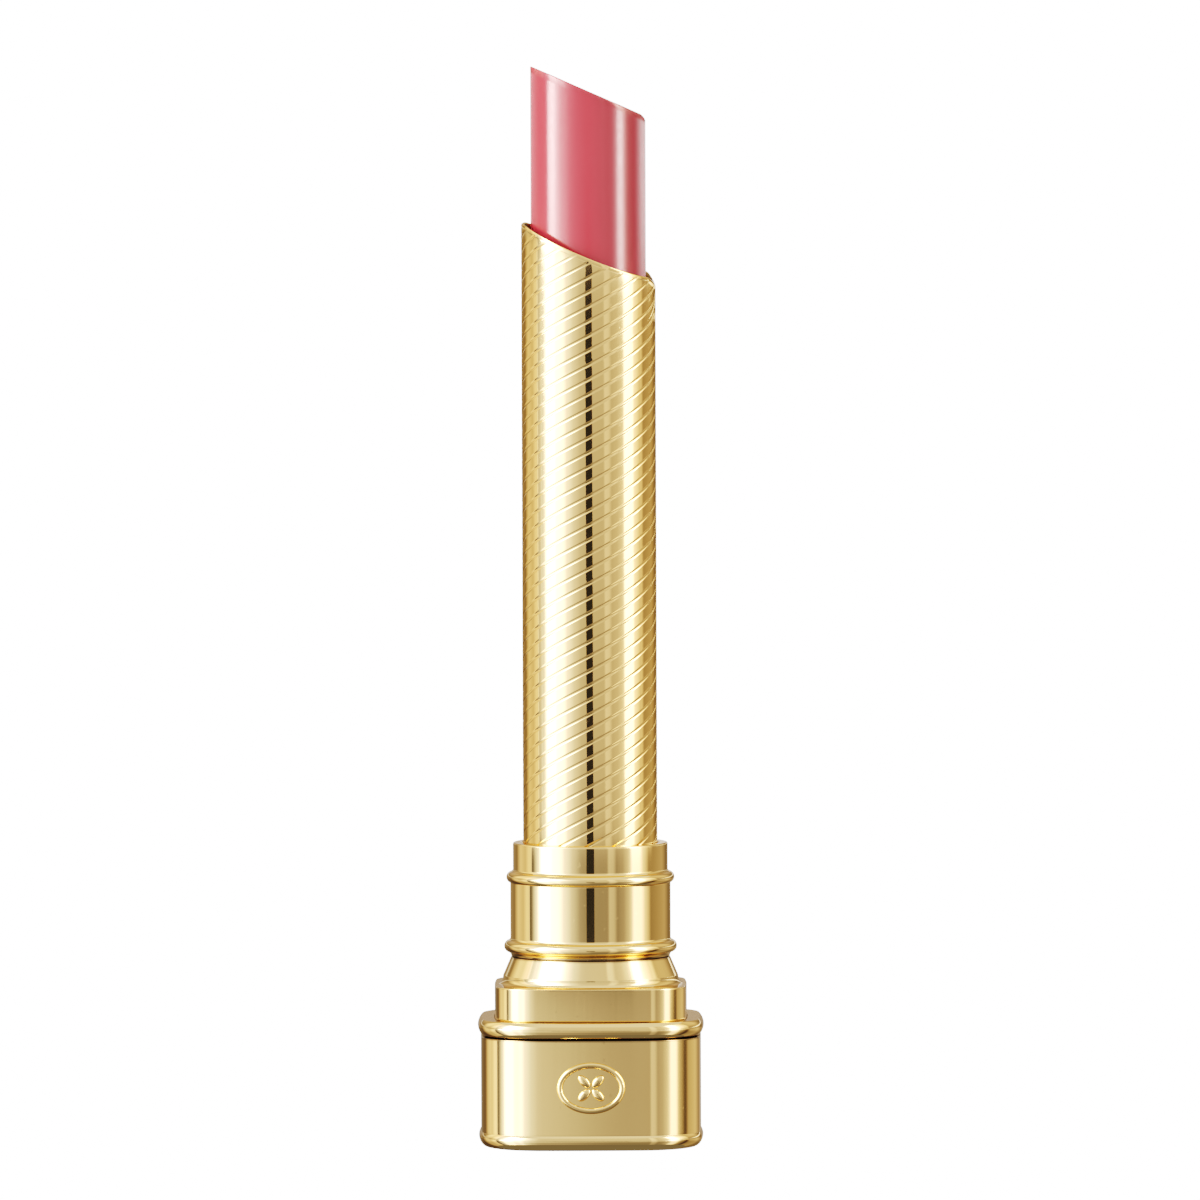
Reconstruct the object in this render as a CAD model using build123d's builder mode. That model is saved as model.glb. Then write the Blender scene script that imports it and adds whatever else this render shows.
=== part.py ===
from build123d import *
import os

os.makedirs("parts", exist_ok=True)

# Lipstick case: a weighted square base with a round neck, a turning metal tube with a slanted
# mouth, and a lipstick carried up and down by a screw inside. Millimetres, +Z up, the origin at
# the middle of the underside. The front faces -Y and the high side of the mouth is at -X.
# The case is drawn fully wound up, which is its rest position.

# ---- overall sizes ----
base_width = 18.35
base_corner = 4.8
base_height = 9.25
block_width = 16.0
block_corner = 3.7
block_height = 2.85
neck_height = 9.5
tube_diameter = 11.2
mouth_height = 74.5
mouth_slope = 0.40
mouth_lean = 0.045
bullet_diameter = 9.58
bullet_height = 87.85
bullet_slope = 0.44
bullet_lean = 0.06

# ---- clearances ----
run_gap = 0.05
bond_gap = 0.01
drop_gap = 0.12

# ---- base shell and its foot bead ----
shell_wall = 0.8
shell_top = 0.6
shell_edge = 0.12
foot_bead_bulge = 0.175
foot_bead_round = 1.59
foot_bead_centre = 0.85
round_land = 0.01
foot_bead_width = base_width + 2 * foot_bead_bulge
core_hole = 6.0

# ---- raised emblem on the front of the base ----
emblem_height = 5.25
emblem_width = 5.7
emblem_tall = 4.3
emblem_stroke = 0.5
emblem_relief = 0.28
emblem_sink = 0.2
petal_count = 4
petal_reach = 0.78
petal_long = 0.62
petal_wide = 0.36

# ---- bead ring between base and block ----
ring_bulge = 0.245
ring_height = 1.64
ring_round = 0.8
ring_seat = 1.35
ring_wall = 2.0
ring_width = base_width + 2 * ring_bulge
ring_corner = base_corner + ring_bulge
block_seat = base_height + ring_seat

# ---- shoulder block and its cone ----
block_edge = 0.25
block_wall = 0.95
block_pocket = 1.4
block_top = block_seat + block_height
cone_height = 2.25
cove_height = 0.65
cove_foot_radius = 7.7
cove_top_radius = 7.3
cove_sink = 0.11
cone_top_radius = 6.62
cone_top = block_top + cone_height

# ---- neck collar ----
neck_radius = 6.675
band_radius = 6.45
low_bead_radius = 7.2
low_bead_height = 1.7
high_bead_radius = 7.0
high_bead_height = 2.0
band_height = 1.9
band_edge = 0.2
lip_height = 0.45
neck_top = cone_top + neck_height
high_bead_top = neck_top - band_height
high_bead_bottom = high_bead_top - high_bead_height

# ---- tube ----
tube_radius = tube_diameter / 2
tube_wall = 0.3
tube_bore = tube_radius - tube_wall
tube_depth = 8.2
tube_bottom = neck_top - tube_depth
mouth_overhang = 0.12
mouth_round = 1.0
thread_starts = 15
thread_lead = 18.2
thread_width = 0.2
thread_depth = 0.08
thread_runout = 3.0

# ---- bush in the neck ----
bush_radius = tube_radius + run_gap + tube_wall
bush_flange_radius = bush_radius + 0.22
bush_flange_height = 0.8
bush_bottom = block_top - run_gap
skirt_gap = run_gap
skirt_wall = bush_flange_radius - bush_radius - bond_gap

# ---- guide tube and the parts on its foot ----
guide_radius = tube_bore - bond_gap
guide_wall = 0.4
guide_bore = guide_radius - guide_wall
guide_foot_bore = 3.2
guide_top_drop = 4.5
guide_top = mouth_height - guide_top_drop
washer_height = 0.15
clip_height = 0.4
clip_groove_radius = 5.0
clip_radius = 5.55
clip_mouth = 3.0
clip_top = bush_bottom - washer_height - run_gap
guide_foot = 0.5
guide_bottom = clip_top - clip_height - guide_foot
brake_thickness = 0.3
brake_groove_height = 2 * brake_thickness + 2 * run_gap
brake_radius = guide_radius + 0.02 - brake_thickness
brake_low_rise = 1.1
brake_pitch = 1.3

# ---- core, weight and closing plate in the base ----
core_boss_radius = 5.7
core_top = guide_bottom - run_gap
core_width = base_width - 2 * shell_wall - 2 * bond_gap
core_corner = base_corner - shell_wall - bond_gap
plate_bottom = 0.35
plate_height = 1.3
plate_top = plate_bottom + plate_height
weight_radius = 7.15
weight_height = 4.5
weight_edge = 0.3
weight_top = plate_top + weight_height
label_radius = 5.5
label_recess = 0.1
label_height = 0.08

# ---- screw and its carrier ----
travel = 14.4
screw_lead = 14.4
screw_radius = 2.2
screw_root = 1.5
screw_slot = 1.22
screw_starts = 2
hex_radius = 3.2
hex_height = 1.2
stem_clearance = 0.6
pin_radius = 0.4
pin_rise = 2.5
pin_outer_inset = 0.12
pin_tip_gap = 0.1
nut_height = 5.5
stem_bore = 2.75
carrier_radius = guide_bore - run_gap
carrier_floor = 1.4
carrier_relief_inset = 0.3
carrier_relief_low = 11.5
carrier_relief_high = 21.5
key_width = 1.2
key_height = 9.5
key_radius = guide_radius - run_gap
cup_boss_radius = 1.6
cup_boss_height = 1.2

# ---- cup and lipstick ----
cup_height = 8.0
cup_wall = 0.4
cup_floor = 0.5
cup_drop = 6.5
cup_radius = bullet_diameter / 2
cup_top = mouth_height - cup_drop
cup_bottom = cup_top - cup_height
bullet_round = 0.45
bullet_overhang = 0.04
carrier_top = cup_bottom
guide_floor = core_top + 8.3
carrier_bottom = guide_floor + stem_clearance + travel
screw_top = carrier_top - travel - carrier_floor - stem_clearance
pin_height = carrier_bottom + pin_rise
groove_bottom = pin_height - travel - 1.5 * pin_radius


def export(builder, label):
    """Label the built part and write its file."""
    builder.part.label = label
    export_step(builder.part, "parts/" + label + ".step")


def square_prism(width, corner, low, high, mode=Mode.ADD):
    """Add or cut a rounded square prism about the axis."""
    with BuildSketch(Plane.XY.offset(low)) as square:
        RectangleRounded(width, width, corner)
    extrude(square.sketch, amount=high - low, mode=mode)


def disc(radius, low, high, mode=Mode.ADD):
    """Add or cut a round disc about the axis."""
    with BuildSketch(Plane.XY.offset(low)) as circle:
        Circle(radius)
    extrude(circle.sketch, amount=high - low, mode=mode)


def helical_cutters(inner, outer, width, starts, lead, low, high, meet):
    """Cut evenly spaced right-handed grooves; one crosses +X at the height meet."""
    with BuildSketch(Plane.XY.offset(low)) as slot:
        with PolarLocations((inner + outer) / 2, starts, start_angle=360 * (low - meet) / lead):
            Rectangle(outer - inner, width)
    for face in slot.sketch.faces():
        add(
            Solid.extrude_linear_with_rotation(
                face, (0, 0, low), (0, 0, high - low), 360 * (high - low) / lead
            ),
            mode=Mode.SUBTRACT,
        )


def slanted_body(radius, overhang, rounding, middle, slope, lean, low):
    """Keep what lies under a slanted roof: high at -X, its low corner rounded."""
    reach = radius + overhang
    roof = Plane(origin=(0, 0, middle), x_dir=(1, 0, 0), z_dir=(0, -1, lean))
    with BuildSketch(roof) as outline:
        Polygon(
            (-2 * radius, 2 * radius * slope),
            (reach, -reach * slope),
            (reach, low - middle),
            (-2 * radius, low - middle),
            align=None,
        )
        corner = outline.vertices().group_by(Axis.X)[-1].sort_by(Axis.Z)[-1]
        fillet(corner, rounding)
    extrude(outline.sketch, amount=2 * radius, both=True, mode=Mode.INTERSECT)


# ======== base ========

# square drawn shell, open below, with a rolled foot bead and the raised emblem
with BuildPart() as base_shell:
    foot_low = foot_bead_centre - foot_bead_round
    foot_high = foot_bead_centre + foot_bead_round
    square_prism(foot_bead_width, base_corner + foot_bead_bulge, foot_low, foot_high)
    ends = base_shell.faces().filter_by(Axis.Z).edges()
    fillet(ends, foot_bead_round - round_land)
    split(bisect_by=Plane.XY, keep=Keep.TOP)
    square_prism(base_width, base_corner, foot_bead_centre, base_height)
    fillet(base_shell.faces().sort_by(Axis.Z)[-1].edges(), shell_edge)
    square_prism(
        base_width - 2 * shell_wall,
        base_corner - shell_wall,
        0,
        base_height - shell_top,
        Mode.SUBTRACT,
    )
    disc(core_hole, 0, base_height, Mode.SUBTRACT)
    with BuildSketch(Plane.XZ.offset(base_width / 2 - emblem_sink)):
        with Locations((0, emblem_height)):
            Ellipse(emblem_width / 2, emblem_tall / 2)
            Ellipse(
                emblem_width / 2 - emblem_stroke,
                emblem_tall / 2 - emblem_stroke,
                mode=Mode.SUBTRACT,
            )
            with PolarLocations(petal_reach, petal_count, start_angle=45):
                Ellipse(petal_long, petal_wide)
    extrude(amount=emblem_sink + emblem_relief)
export(base_shell, "base_shell")

# half-round square ring that trims the joint between shell and block
with BuildPart() as base_bead_ring:
    square_prism(ring_width, ring_corner, base_height, base_height + ring_height)
    fillet(base_bead_ring.faces().filter_by(Axis.Z).edges(), ring_round)
    square_prism(
        block_width + 2 * bond_gap,
        block_corner + bond_gap,
        block_seat,
        base_height + ring_height,
        Mode.SUBTRACT,
    )
    square_prism(
        ring_width - 2 * ring_wall,
        ring_corner - ring_wall,
        base_height,
        base_height + ring_height,
        Mode.SUBTRACT,
    )
export(base_bead_ring, "base_bead_ring")

# moulded core that fills the shell: weight pocket below, hexagonal screw seat, boss above
with BuildPart() as base_core:
    square_prism(core_width, core_corner, plate_top, base_height - shell_top)
    disc(core_boss_radius, base_height - shell_top, core_top)
    disc(weight_radius + bond_gap, plate_top, weight_top, Mode.SUBTRACT)
    with BuildSketch(Plane.XY.offset(weight_top)):
        RegularPolygon(hex_radius + bond_gap, 6)
    extrude(amount=hex_height, mode=Mode.SUBTRACT)
    disc(screw_radius + bond_gap, weight_top, core_top, Mode.SUBTRACT)
export(base_core, "base_core")

# steel slug
with BuildPart() as base_weight:
    disc(weight_radius, plate_top, weight_top)
    chamfer(base_weight.edges().filter_by(GeomType.CIRCLE), weight_edge)
export(base_weight, "base_weight")

# plate that closes the shell from below, with a shallow round recess for the label
with BuildPart() as bottom_plate:
    square_prism(core_width, core_corner, plate_bottom, plate_top)
    disc(label_radius + run_gap, plate_bottom, plate_bottom + label_recess, Mode.SUBTRACT)
export(bottom_plate, "bottom_plate")

# blank shade label
with BuildPart() as base_label:
    label_top = plate_bottom + label_recess
    disc(label_radius, label_top - label_height, label_top)
export(base_label, "base_label")

# ======== shoulder and neck ========

# square block whose top sweeps up through a cove into a short cone
with BuildPart() as shoulder_block:
    square_prism(block_width, block_corner, block_seat, block_top)
    fillet(shoulder_block.faces().sort_by(Axis.Z)[-1].edges(), block_edge)
    with BuildSketch(Plane.XZ):
        with BuildLine():
            cove_mid_radius = (cove_foot_radius + cove_top_radius) / 2 - cove_sink
            cove_mid_height = block_top + cove_height / 2 - cove_sink
            Polyline(
                (cove_foot_radius, block_top),
                (0, block_top),
                (0, cone_top),
                (cone_top_radius, cone_top),
                (cove_top_radius, block_top + cove_height),
            )
            ThreePointArc(
                (cove_top_radius, block_top + cove_height),
                (cove_mid_radius, cove_mid_height),
                (cove_foot_radius, block_top),
            )
        make_face()
    revolve(axis=Axis.Z)
    square_prism(
        block_width - 2 * block_wall,
        block_corner - block_wall,
        block_seat,
        block_seat + block_pocket,
        Mode.SUBTRACT,
    )
    disc(core_boss_radius + bond_gap, block_seat, bush_bottom, Mode.SUBTRACT)
    disc(bush_flange_radius + bond_gap, bush_bottom, cone_top, Mode.SUBTRACT)
export(shoulder_block, "shoulder_block")

# turned neck with a bead at its foot and another near the top, skirt plugged into the cone
with BuildPart() as neck_collar:
    with BuildSketch(Plane.XZ):
        with BuildLine():
            collar_bore = bush_radius + bond_gap
            collar_lip = tube_radius + run_gap
            skirt_bottom = bush_bottom + bush_flange_height
            low_bead_top = cone_top + low_bead_height
            Polyline(
                (neck_radius, cone_top),
                (bush_flange_radius, cone_top),
                (bush_flange_radius, skirt_bottom),
                (collar_bore, skirt_bottom),
                (collar_bore, neck_top - lip_height),
                (collar_lip, neck_top - lip_height),
                (collar_lip, neck_top),
                (band_radius - band_edge, neck_top),
                (band_radius, neck_top - band_edge),
                (band_radius, high_bead_top),
            )
            ThreePointArc(
                (band_radius, high_bead_top),
                (high_bead_radius, high_bead_bottom + high_bead_height / 2),
                (neck_radius, high_bead_bottom),
            )
            Line((neck_radius, high_bead_bottom), (neck_radius, low_bead_top))
            ThreePointArc(
                (neck_radius, low_bead_top),
                (low_bead_radius, cone_top + low_bead_height / 2),
                (neck_radius, cone_top),
            )
        make_face()
    revolve(axis=Axis.Z)
export(neck_collar, "neck_collar")

# plain bush in which the tube turns; its flange is trapped under the skirt of the neck
with BuildPart() as bearing_bush:
    disc(bush_radius, bush_bottom, neck_top - lip_height)
    disc(bush_flange_radius, bush_bottom, bush_bottom + bush_flange_height)
    disc(guide_radius + run_gap, bush_bottom, neck_top, Mode.SUBTRACT)
    disc(tube_radius + run_gap, tube_bottom - run_gap, neck_top, Mode.SUBTRACT)
export(bearing_bush, "bearing_bush")

# thin washer between bush and clip
with BuildPart() as thrust_washer:
    disc(clip_radius, bush_bottom - washer_height, bush_bottom)
    disc(guide_radius + run_gap, bush_bottom - washer_height, bush_bottom, Mode.SUBTRACT)
export(thrust_washer, "thrust_washer")

# upright screw: hexagonal root in the core, two steep right-handed grooves in its upper half
with BuildPart() as spindle:
    with BuildSketch(Plane.XY.offset(weight_top)):
        RegularPolygon(hex_radius, 6)
    extrude(amount=hex_height)
    disc(screw_radius, weight_top, screw_top)
    helical_cutters(
        screw_root,
        2 * screw_radius - screw_root,
        screw_slot,
        screw_starts,
        screw_lead,
        groove_bottom,
        screw_top + pin_radius,
        pin_height,
    )
export(spindle, "spindle")

# ======== turning tube ========

# thin sleeve with fine spiral grooves, its mouth cut on a slant
with BuildPart() as outer_tube:
    disc(tube_radius, tube_bottom, mouth_height + tube_diameter)
    slanted_body(
        tube_radius,
        mouth_overhang,
        mouth_round,
        mouth_height,
        mouth_slope,
        -mouth_lean,
        tube_bottom - tube_radius,
    )
    helical_cutters(
        tube_radius - thread_depth,
        tube_radius + thread_depth,
        thread_width,
        thread_starts,
        thread_lead,
        tube_bottom + thread_runout,
        mouth_height + tube_radius,
        mouth_height,
    )
    disc(tube_bore, tube_bottom, mouth_height + tube_diameter, Mode.SUBTRACT)
export(outer_tube, "outer_tube")

# slotted guide bonded inside the sleeve; grooves near its foot take the brake rings and clip
with BuildPart() as guide_tube:
    disc(guide_radius, guide_bottom, guide_top)
    disc(guide_foot_bore, guide_bottom, guide_floor, Mode.SUBTRACT)
    disc(guide_bore, guide_floor, guide_top, Mode.SUBTRACT)
    with BuildSketch(Plane.XY.offset(carrier_bottom - travel - run_gap)):
        Rectangle(key_width + 2 * run_gap, 2 * tube_radius)
    extrude(amount=travel + key_height + 2 * run_gap, mode=Mode.SUBTRACT)
    groove_lows = [
        bush_bottom + brake_low_rise - brake_groove_height / 2,
        bush_bottom + brake_low_rise + brake_pitch - brake_groove_height / 2,
    ]
    for low in groove_lows:
        with BuildSketch(Plane.XY.offset(low)):
            Circle(tube_radius)
            Circle(brake_radius - brake_thickness, mode=Mode.SUBTRACT)
        extrude(amount=brake_groove_height, mode=Mode.SUBTRACT)
    with BuildSketch(Plane.XY.offset(clip_top - clip_height - bond_gap)):
        Circle(tube_radius)
        Circle(clip_groove_radius, mode=Mode.SUBTRACT)
    extrude(amount=clip_height + 2 * bond_gap, mode=Mode.SUBTRACT)
export(guide_tube, "guide_tube")

# soft rings that drag lightly in the bush
for ring_label, ring_rise in (
    ("brake_ring_lower", brake_low_rise),
    ("brake_ring_upper", brake_low_rise + brake_pitch),
):
    with BuildPart() as brake_ring:
        with Locations((0, 0, bush_bottom + ring_rise)):
            Torus(brake_radius, brake_thickness)
    export(brake_ring, ring_label)

# open spring clip that keeps the tube from lifting out of the bush
with BuildPart() as retaining_clip:
    with BuildSketch(Plane.XY.offset(clip_top - clip_height)):
        Circle(clip_radius)
        Circle(clip_groove_radius, mode=Mode.SUBTRACT)
        with Locations((0, clip_radius)):
            Rectangle(clip_mouth, clip_radius, mode=Mode.SUBTRACT)
    extrude(amount=clip_height)
export(retaining_clip, "retaining_clip")

# ======== carrier ========

# hollow stem with two keys for the guide slots and a nut bore around the screw
with BuildPart() as carrier:
    disc(carrier_radius, carrier_bottom, carrier_top)
    with BuildSketch(Plane.XY.offset(carrier_bottom)):
        Rectangle(key_width, 2 * key_radius)
    extrude(amount=key_height)
    disc(cup_boss_radius, carrier_top, carrier_top + cup_boss_height)
    with BuildSketch(Plane.XY.offset(carrier_bottom + carrier_relief_low)):
        Circle(tube_radius)
        Circle(carrier_radius - carrier_relief_inset, mode=Mode.SUBTRACT)
    extrude(amount=carrier_relief_high - carrier_relief_low, mode=Mode.SUBTRACT)
    disc(screw_radius + run_gap, carrier_bottom, carrier_bottom + nut_height, Mode.SUBTRACT)
    disc(stem_bore, carrier_bottom + nut_height, carrier_top - carrier_floor, Mode.SUBTRACT)
    with BuildSketch(Plane.YZ):
        with Locations((0, pin_height)):
            Circle(pin_radius)
    extrude(amount=tube_radius, both=True, mode=Mode.SUBTRACT)
export(carrier, "carrier")

# small pins that ride in the grooves of the screw
for pin_label, pin_side in (("follower_pin_left", -1), ("follower_pin_right", 1)):
    with BuildPart() as follower_pin:
        with BuildSketch(Plane.YZ.offset(pin_side * (screw_root + pin_tip_gap))):
            with Locations((0, pin_height)):
                Circle(pin_radius)
        pin_length = carrier_radius - pin_outer_inset - screw_root - pin_tip_gap
        extrude(amount=pin_side * pin_length)
    export(follower_pin, pin_label)

# thin cup that grips the foot of the lipstick
with BuildPart() as bullet_cup:
    disc(cup_radius, cup_bottom, cup_top)
    disc(cup_radius - cup_wall, cup_bottom + cup_floor, cup_top, Mode.SUBTRACT)
    disc(cup_boss_radius + bond_gap, cup_bottom, cup_top, Mode.SUBTRACT)
export(bullet_cup, "bullet_cup")

# lipstick with a slanted top, its narrower foot in the cup
with BuildPart() as bullet:
    disc(cup_radius - cup_wall - bond_gap, cup_bottom + cup_floor, cup_top)
    disc(cup_radius, cup_top, bullet_height + bullet_diameter)
    slanted_body(
        cup_radius,
        bullet_overhang,
        bullet_round,
        bullet_height,
        bullet_slope,
        bullet_lean,
        cup_bottom - cup_radius,
    )
    disc(
        cup_boss_radius + bond_gap,
        cup_bottom + cup_floor,
        carrier_top + cup_boss_height + bond_gap,
        Mode.SUBTRACT,
    )
export(bullet, "bullet")
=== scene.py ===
import math

import bpy
import numpy as np
from mathutils import Matrix, Vector


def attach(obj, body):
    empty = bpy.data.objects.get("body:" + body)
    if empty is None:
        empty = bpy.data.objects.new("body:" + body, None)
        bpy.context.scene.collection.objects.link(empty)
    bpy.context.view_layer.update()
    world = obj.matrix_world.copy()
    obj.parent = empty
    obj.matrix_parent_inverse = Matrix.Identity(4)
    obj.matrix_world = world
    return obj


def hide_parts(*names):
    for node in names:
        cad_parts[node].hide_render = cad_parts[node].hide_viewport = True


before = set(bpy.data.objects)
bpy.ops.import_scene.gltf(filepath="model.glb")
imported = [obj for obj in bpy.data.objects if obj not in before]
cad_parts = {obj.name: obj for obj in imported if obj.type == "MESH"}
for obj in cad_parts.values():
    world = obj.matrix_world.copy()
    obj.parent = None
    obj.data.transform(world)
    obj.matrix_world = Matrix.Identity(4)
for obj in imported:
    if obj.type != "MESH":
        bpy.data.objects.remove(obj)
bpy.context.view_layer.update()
MM = 0.001

# ======== camera ========
# A long portrait lens looks at the case from the front, from a little above its middle, and the
# camera leans by a hair.

lens_mm = 1000
sensor_mm = 36
field = 100 * MM
look_height = 45.4 * MM
look_side = 0.88 * MM
look_down = math.radians(3.6)
camera_lean = math.radians(-0.19)
camera_distance = field * lens_mm / sensor_mm

camera_data = bpy.data.cameras.new("camera")
camera_data.sensor_width = sensor_mm
camera_data.lens = lens_mm
camera_data.clip_start = 0.1
camera_data.clip_end = 30
camera = bpy.data.objects.new("camera", camera_data)
bpy.context.collection.objects.link(camera)
camera_back = Vector((0, -math.cos(look_down), math.sin(look_down)))
camera.matrix_world = (
    Matrix.Translation(Vector((look_side, 0, look_height)) + camera_back * camera_distance)
    @ Matrix.Rotation(math.pi / 2 - look_down, 4, "X")
    @ Matrix.Rotation(camera_lean, 4, "Z")
)
bpy.context.scene.camera = camera

# The picture's tone curve: light from 0 to film_white comes out with deep shadows and a long
# soft shoulder, so that bright gold goes to cream and then white.
film_white = 3.2
film_curve = (
    (0.0, 0.0), (0.016, 0.033), (0.031, 0.089), (0.0625, 0.214), (0.094, 0.319), (0.156, 0.477),
    (0.219, 0.579), (0.281, 0.656), (0.375, 0.738), (0.5, 0.807), (0.69, 0.9), (1.0, 1.0),
)
view = bpy.context.scene.view_settings
view.view_transform = "Standard"
view.use_curve_mapping = True
view.curve_mapping.white_level = (film_white, film_white, film_white)
tone = view.curve_mapping.curves[3].points
while len(tone) < len(film_curve):
    tone.new(0.5, 0.5)
for point, (light, shown) in zip(tone, film_curve):
    point.location = (light, shown)
view.curve_mapping.update()

# ======== studio ========
# A pale floor under a round cloth tent lit from outside: a broad soft light on the left, a
# narrower one on the right and slim ones behind. A thin black card stands before the tube and
# draws the dark line down its middle.


class Value:
    """A number on its way through a node tree; arithmetic on it adds Math nodes."""

    def __init__(self, tree, socket):
        self.tree = tree
        self.socket = socket

    def maths(self, operation, *terms):
        node = self.tree.nodes.new("ShaderNodeMath")
        node.operation = operation
        for slot, term in zip(node.inputs, terms):
            if isinstance(term, Value):
                self.tree.links.new(term.socket, slot)
            else:
                slot.default_value = term
        return Value(self.tree, node.outputs[0])

    def __add__(self, other):
        return self.maths("ADD", self, other)

    def __radd__(self, other):
        return self.maths("ADD", other, self)

    def __sub__(self, other):
        return self.maths("SUBTRACT", self, other)

    def __rsub__(self, other):
        return self.maths("SUBTRACT", other, self)

    def __mul__(self, other):
        return self.maths("MULTIPLY", self, other)

    def __rmul__(self, other):
        return self.maths("MULTIPLY", other, self)

    def __neg__(self):
        return self.maths("MULTIPLY", self, -1)


class Finish:
    """A node tree being built.

    node() adds one node, gives it its settings first and then its values and links, and hands
    back one of its outputs. The setting "stops" is a ramp's (place, grey) pairs.
    """

    def __init__(self, owner):
        self.owner = owner
        owner.use_nodes = True
        self.tree = owner.node_tree
        self.tree.nodes.clear()

    def node(self, kind, settings=None, sockets=None, output=0):
        made = self.tree.nodes.new(kind)
        for key, value in (settings or {}).items():
            if key == "stops":
                ramp = made.color_ramp
                while len(ramp.elements) < len(value):
                    ramp.elements.new(1)
                for stop, (place, shade) in zip(ramp.elements, value):
                    stop.position = place
                    stop.color = (shade, shade, shade, 1)
            else:
                setattr(made, key, value)
        for key, value in (sockets or {}).items():
            if isinstance(value, Value):
                self.tree.links.new(value.socket, made.inputs[key])
            else:
                made.inputs[key].default_value = value
        return Value(self.tree, made.outputs[output]) if len(made.outputs) else None


def stage_piece(name, points, faces, material, **seen_by):
    """A studio piece of plain faces, hidden from the kinds of light ray that are named."""
    mesh = bpy.data.meshes.new(name)
    mesh.from_pydata(points, [], faces)
    mesh.materials.append(material)
    piece = bpy.data.objects.new(name, mesh)
    bpy.context.collection.objects.link(piece)
    for ray, seen in seen_by.items():
        setattr(piece, "visible_" + ray, seen)


backdrop_light = film_white
world = bpy.data.worlds.new("studio_air")
bpy.context.scene.world = world
air = Finish(world)
air_light = air.node(
    "ShaderNodeBackground", None, {"Color": (1, 1, 1, 1), "Strength": backdrop_light}
)
air.node("ShaderNodeOutputWorld", None, {"Surface": air_light})


def plain_glow(name, strength, colour=(1, 1, 1, 1)):
    """A material that only shines, evenly."""
    glow = Finish(bpy.data.materials.new(name))
    shine = glow.node("ShaderNodeEmission", None, {"Color": colour, "Strength": strength})
    glow.node("ShaderNodeOutputMaterial", None, {"Surface": shine})
    return glow.owner


floor_size = 3.0
floor_points = [
    (side * floor_size, away * floor_size, 0) for away in (-1, 1) for side in (-1, 1)
]
stage_piece(
    "floor",
    floor_points,
    [(0, 1, 3, 2)],
    plain_glow("floor_pale", backdrop_light),
    glossy=False,
    diffuse=False,
    shadow=False,
)

# The tent wall: bearing in degrees, 0 in front and negative to the left, and its brightness.
# tent_light is what the gold mirrors, stick_light what the lipstick does. tent_warmth goes from
# 0, white, to 1, warm.
tent_light = (
    (-180, 0.5), (-141, 0.3), (-127, 1.35), (-113, 1.0), (-104, 1.85), (-99, 1.6),
    (-97, 0.12), (-93, 0.3), (-88, 1.3), (-82, 3.0), (-77, 14), (-62, 14), (-58, 9),
    (-47, 7), (-39, 2.8), (-27, 1.2), (-15, 0.5), (-8, 0.40), (25, 0.40), (27.5, 0.95),
    (34, 0.85), (39, 0.36), (49, 0.52), (57, 1.0), (61.5, 1.8), (66, 5), (78, 5), (85, 2.0),
    (97, 0.38), (133, 0.65), (152, 0.22), (180, 0.5),
)
stick_light = (
    (-180, 1.0), (-135, 0.9), (-122, 0.45), (-106, 0.3), (-94, 0.5), (-90, 2.5), (-82, 46),
    (-73, 46), (-67, 15), (-58, 3.8), (-46, 2.1), (-34, 1.4), (-18, 1.1), (-8, 1.1), (38, 1.2),
    (50, 2.0), (58, 7), (64, 30), (70, 30), (76, 6), (82, 1.2), (90, 0.5), (104, 0.35),
    (113, 1.1), (122, 2.4), (135, 3.4), (152, 2.0), (180, 1.0),
)
tent_warmth = ((-180, 1), (-101, 1), (-96, 0), (-30, 0), (0, 0.3), (62, 0.5), (97, 1), (180, 1))
warm_white = (1, 0.80, 0.58, 1)
tent_radius = 0.42
tent_low = -0.36
tent_high = 0.42
tent_top_light = 1.3
tent_bottom_light = 0.22

# Patches of the wall with more or less light: from and to in degrees of bearing, the softness
# of both ends, and the gain. middle_patches add that much light above neck_edge, and
# foot_patches raise or lower the light by that share below block_edge.
front_patch = (-30, 65, 40)
middle_patches = (
    (*front_patch, 0.40),
    (63, 81, 6, 5),
    (80, 104, 8, 0.9),
    (-100, -88, 3, 0.8),
)
foot_patches = (
    (-82, -48, 10, -0.35),
    (-122, -94, 8, 0.4),
    (-190, -131, 14, -0.4),
    (78, 104, 8, -0.6),
    (106, 170, 10, 0.6),
)
foot_fade = (-9, 5)
foot_front_glow = 0.2
foot_left_glow = 0.45
upper_gain = 0.9
upper_front_patch = (-40, 60, 30)
upper_front_loss = 0.6
lower_loss = 0.5

# Heights on the wall, in mm: each pair is where one light gives way to the next.
neck_edge = (-4.8, -3.6)
block_edge = (-17.2, -14.8)
foot_glow_edge = (-18.2, -15.6)
lower_edge = (-160, -35)
upper_edge = (75, 200)
wax_low = 52.7
wax_high = 75
wax_soft = 1.2
mouth_swing = 2.3
wax_whiteness = 0.9

# Matt surfaces get less light from the wall than mirrors do, and less still from the right.
diffuse_loss = 0.45
right_loss = 0.22
right_edge = (0, 60)

tent_peak = max(bright for _, bright in tent_light)
stick_peak = max(bright for _, bright in stick_light)
tent_finish = Finish(bpy.data.materials.new("tent_cloth"))
tent_place = tent_finish.node("ShaderNodeTexCoord", None, None, "Object")
tent_across, tent_back, tent_up = (
    tent_finish.node("ShaderNodeSeparateXYZ", None, {"Vector": tent_place}, axis)
    for axis in "XYZ"
)
bearing = tent_across.maths("ARCTAN2", tent_across, -tent_back) * (180 / math.pi)


def tent_ramp(pairs, peak):
    """A brightness round the wall: straight runs between the bearings given."""
    stops = [(0.5 + angle / 360, bright / peak) for angle, bright in pairs]
    turned = bearing * (1 / 360) + 0.5
    return tent_finish.node("ShaderNodeValToRGB", {"stops": stops}, {"Fac": turned})


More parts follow.
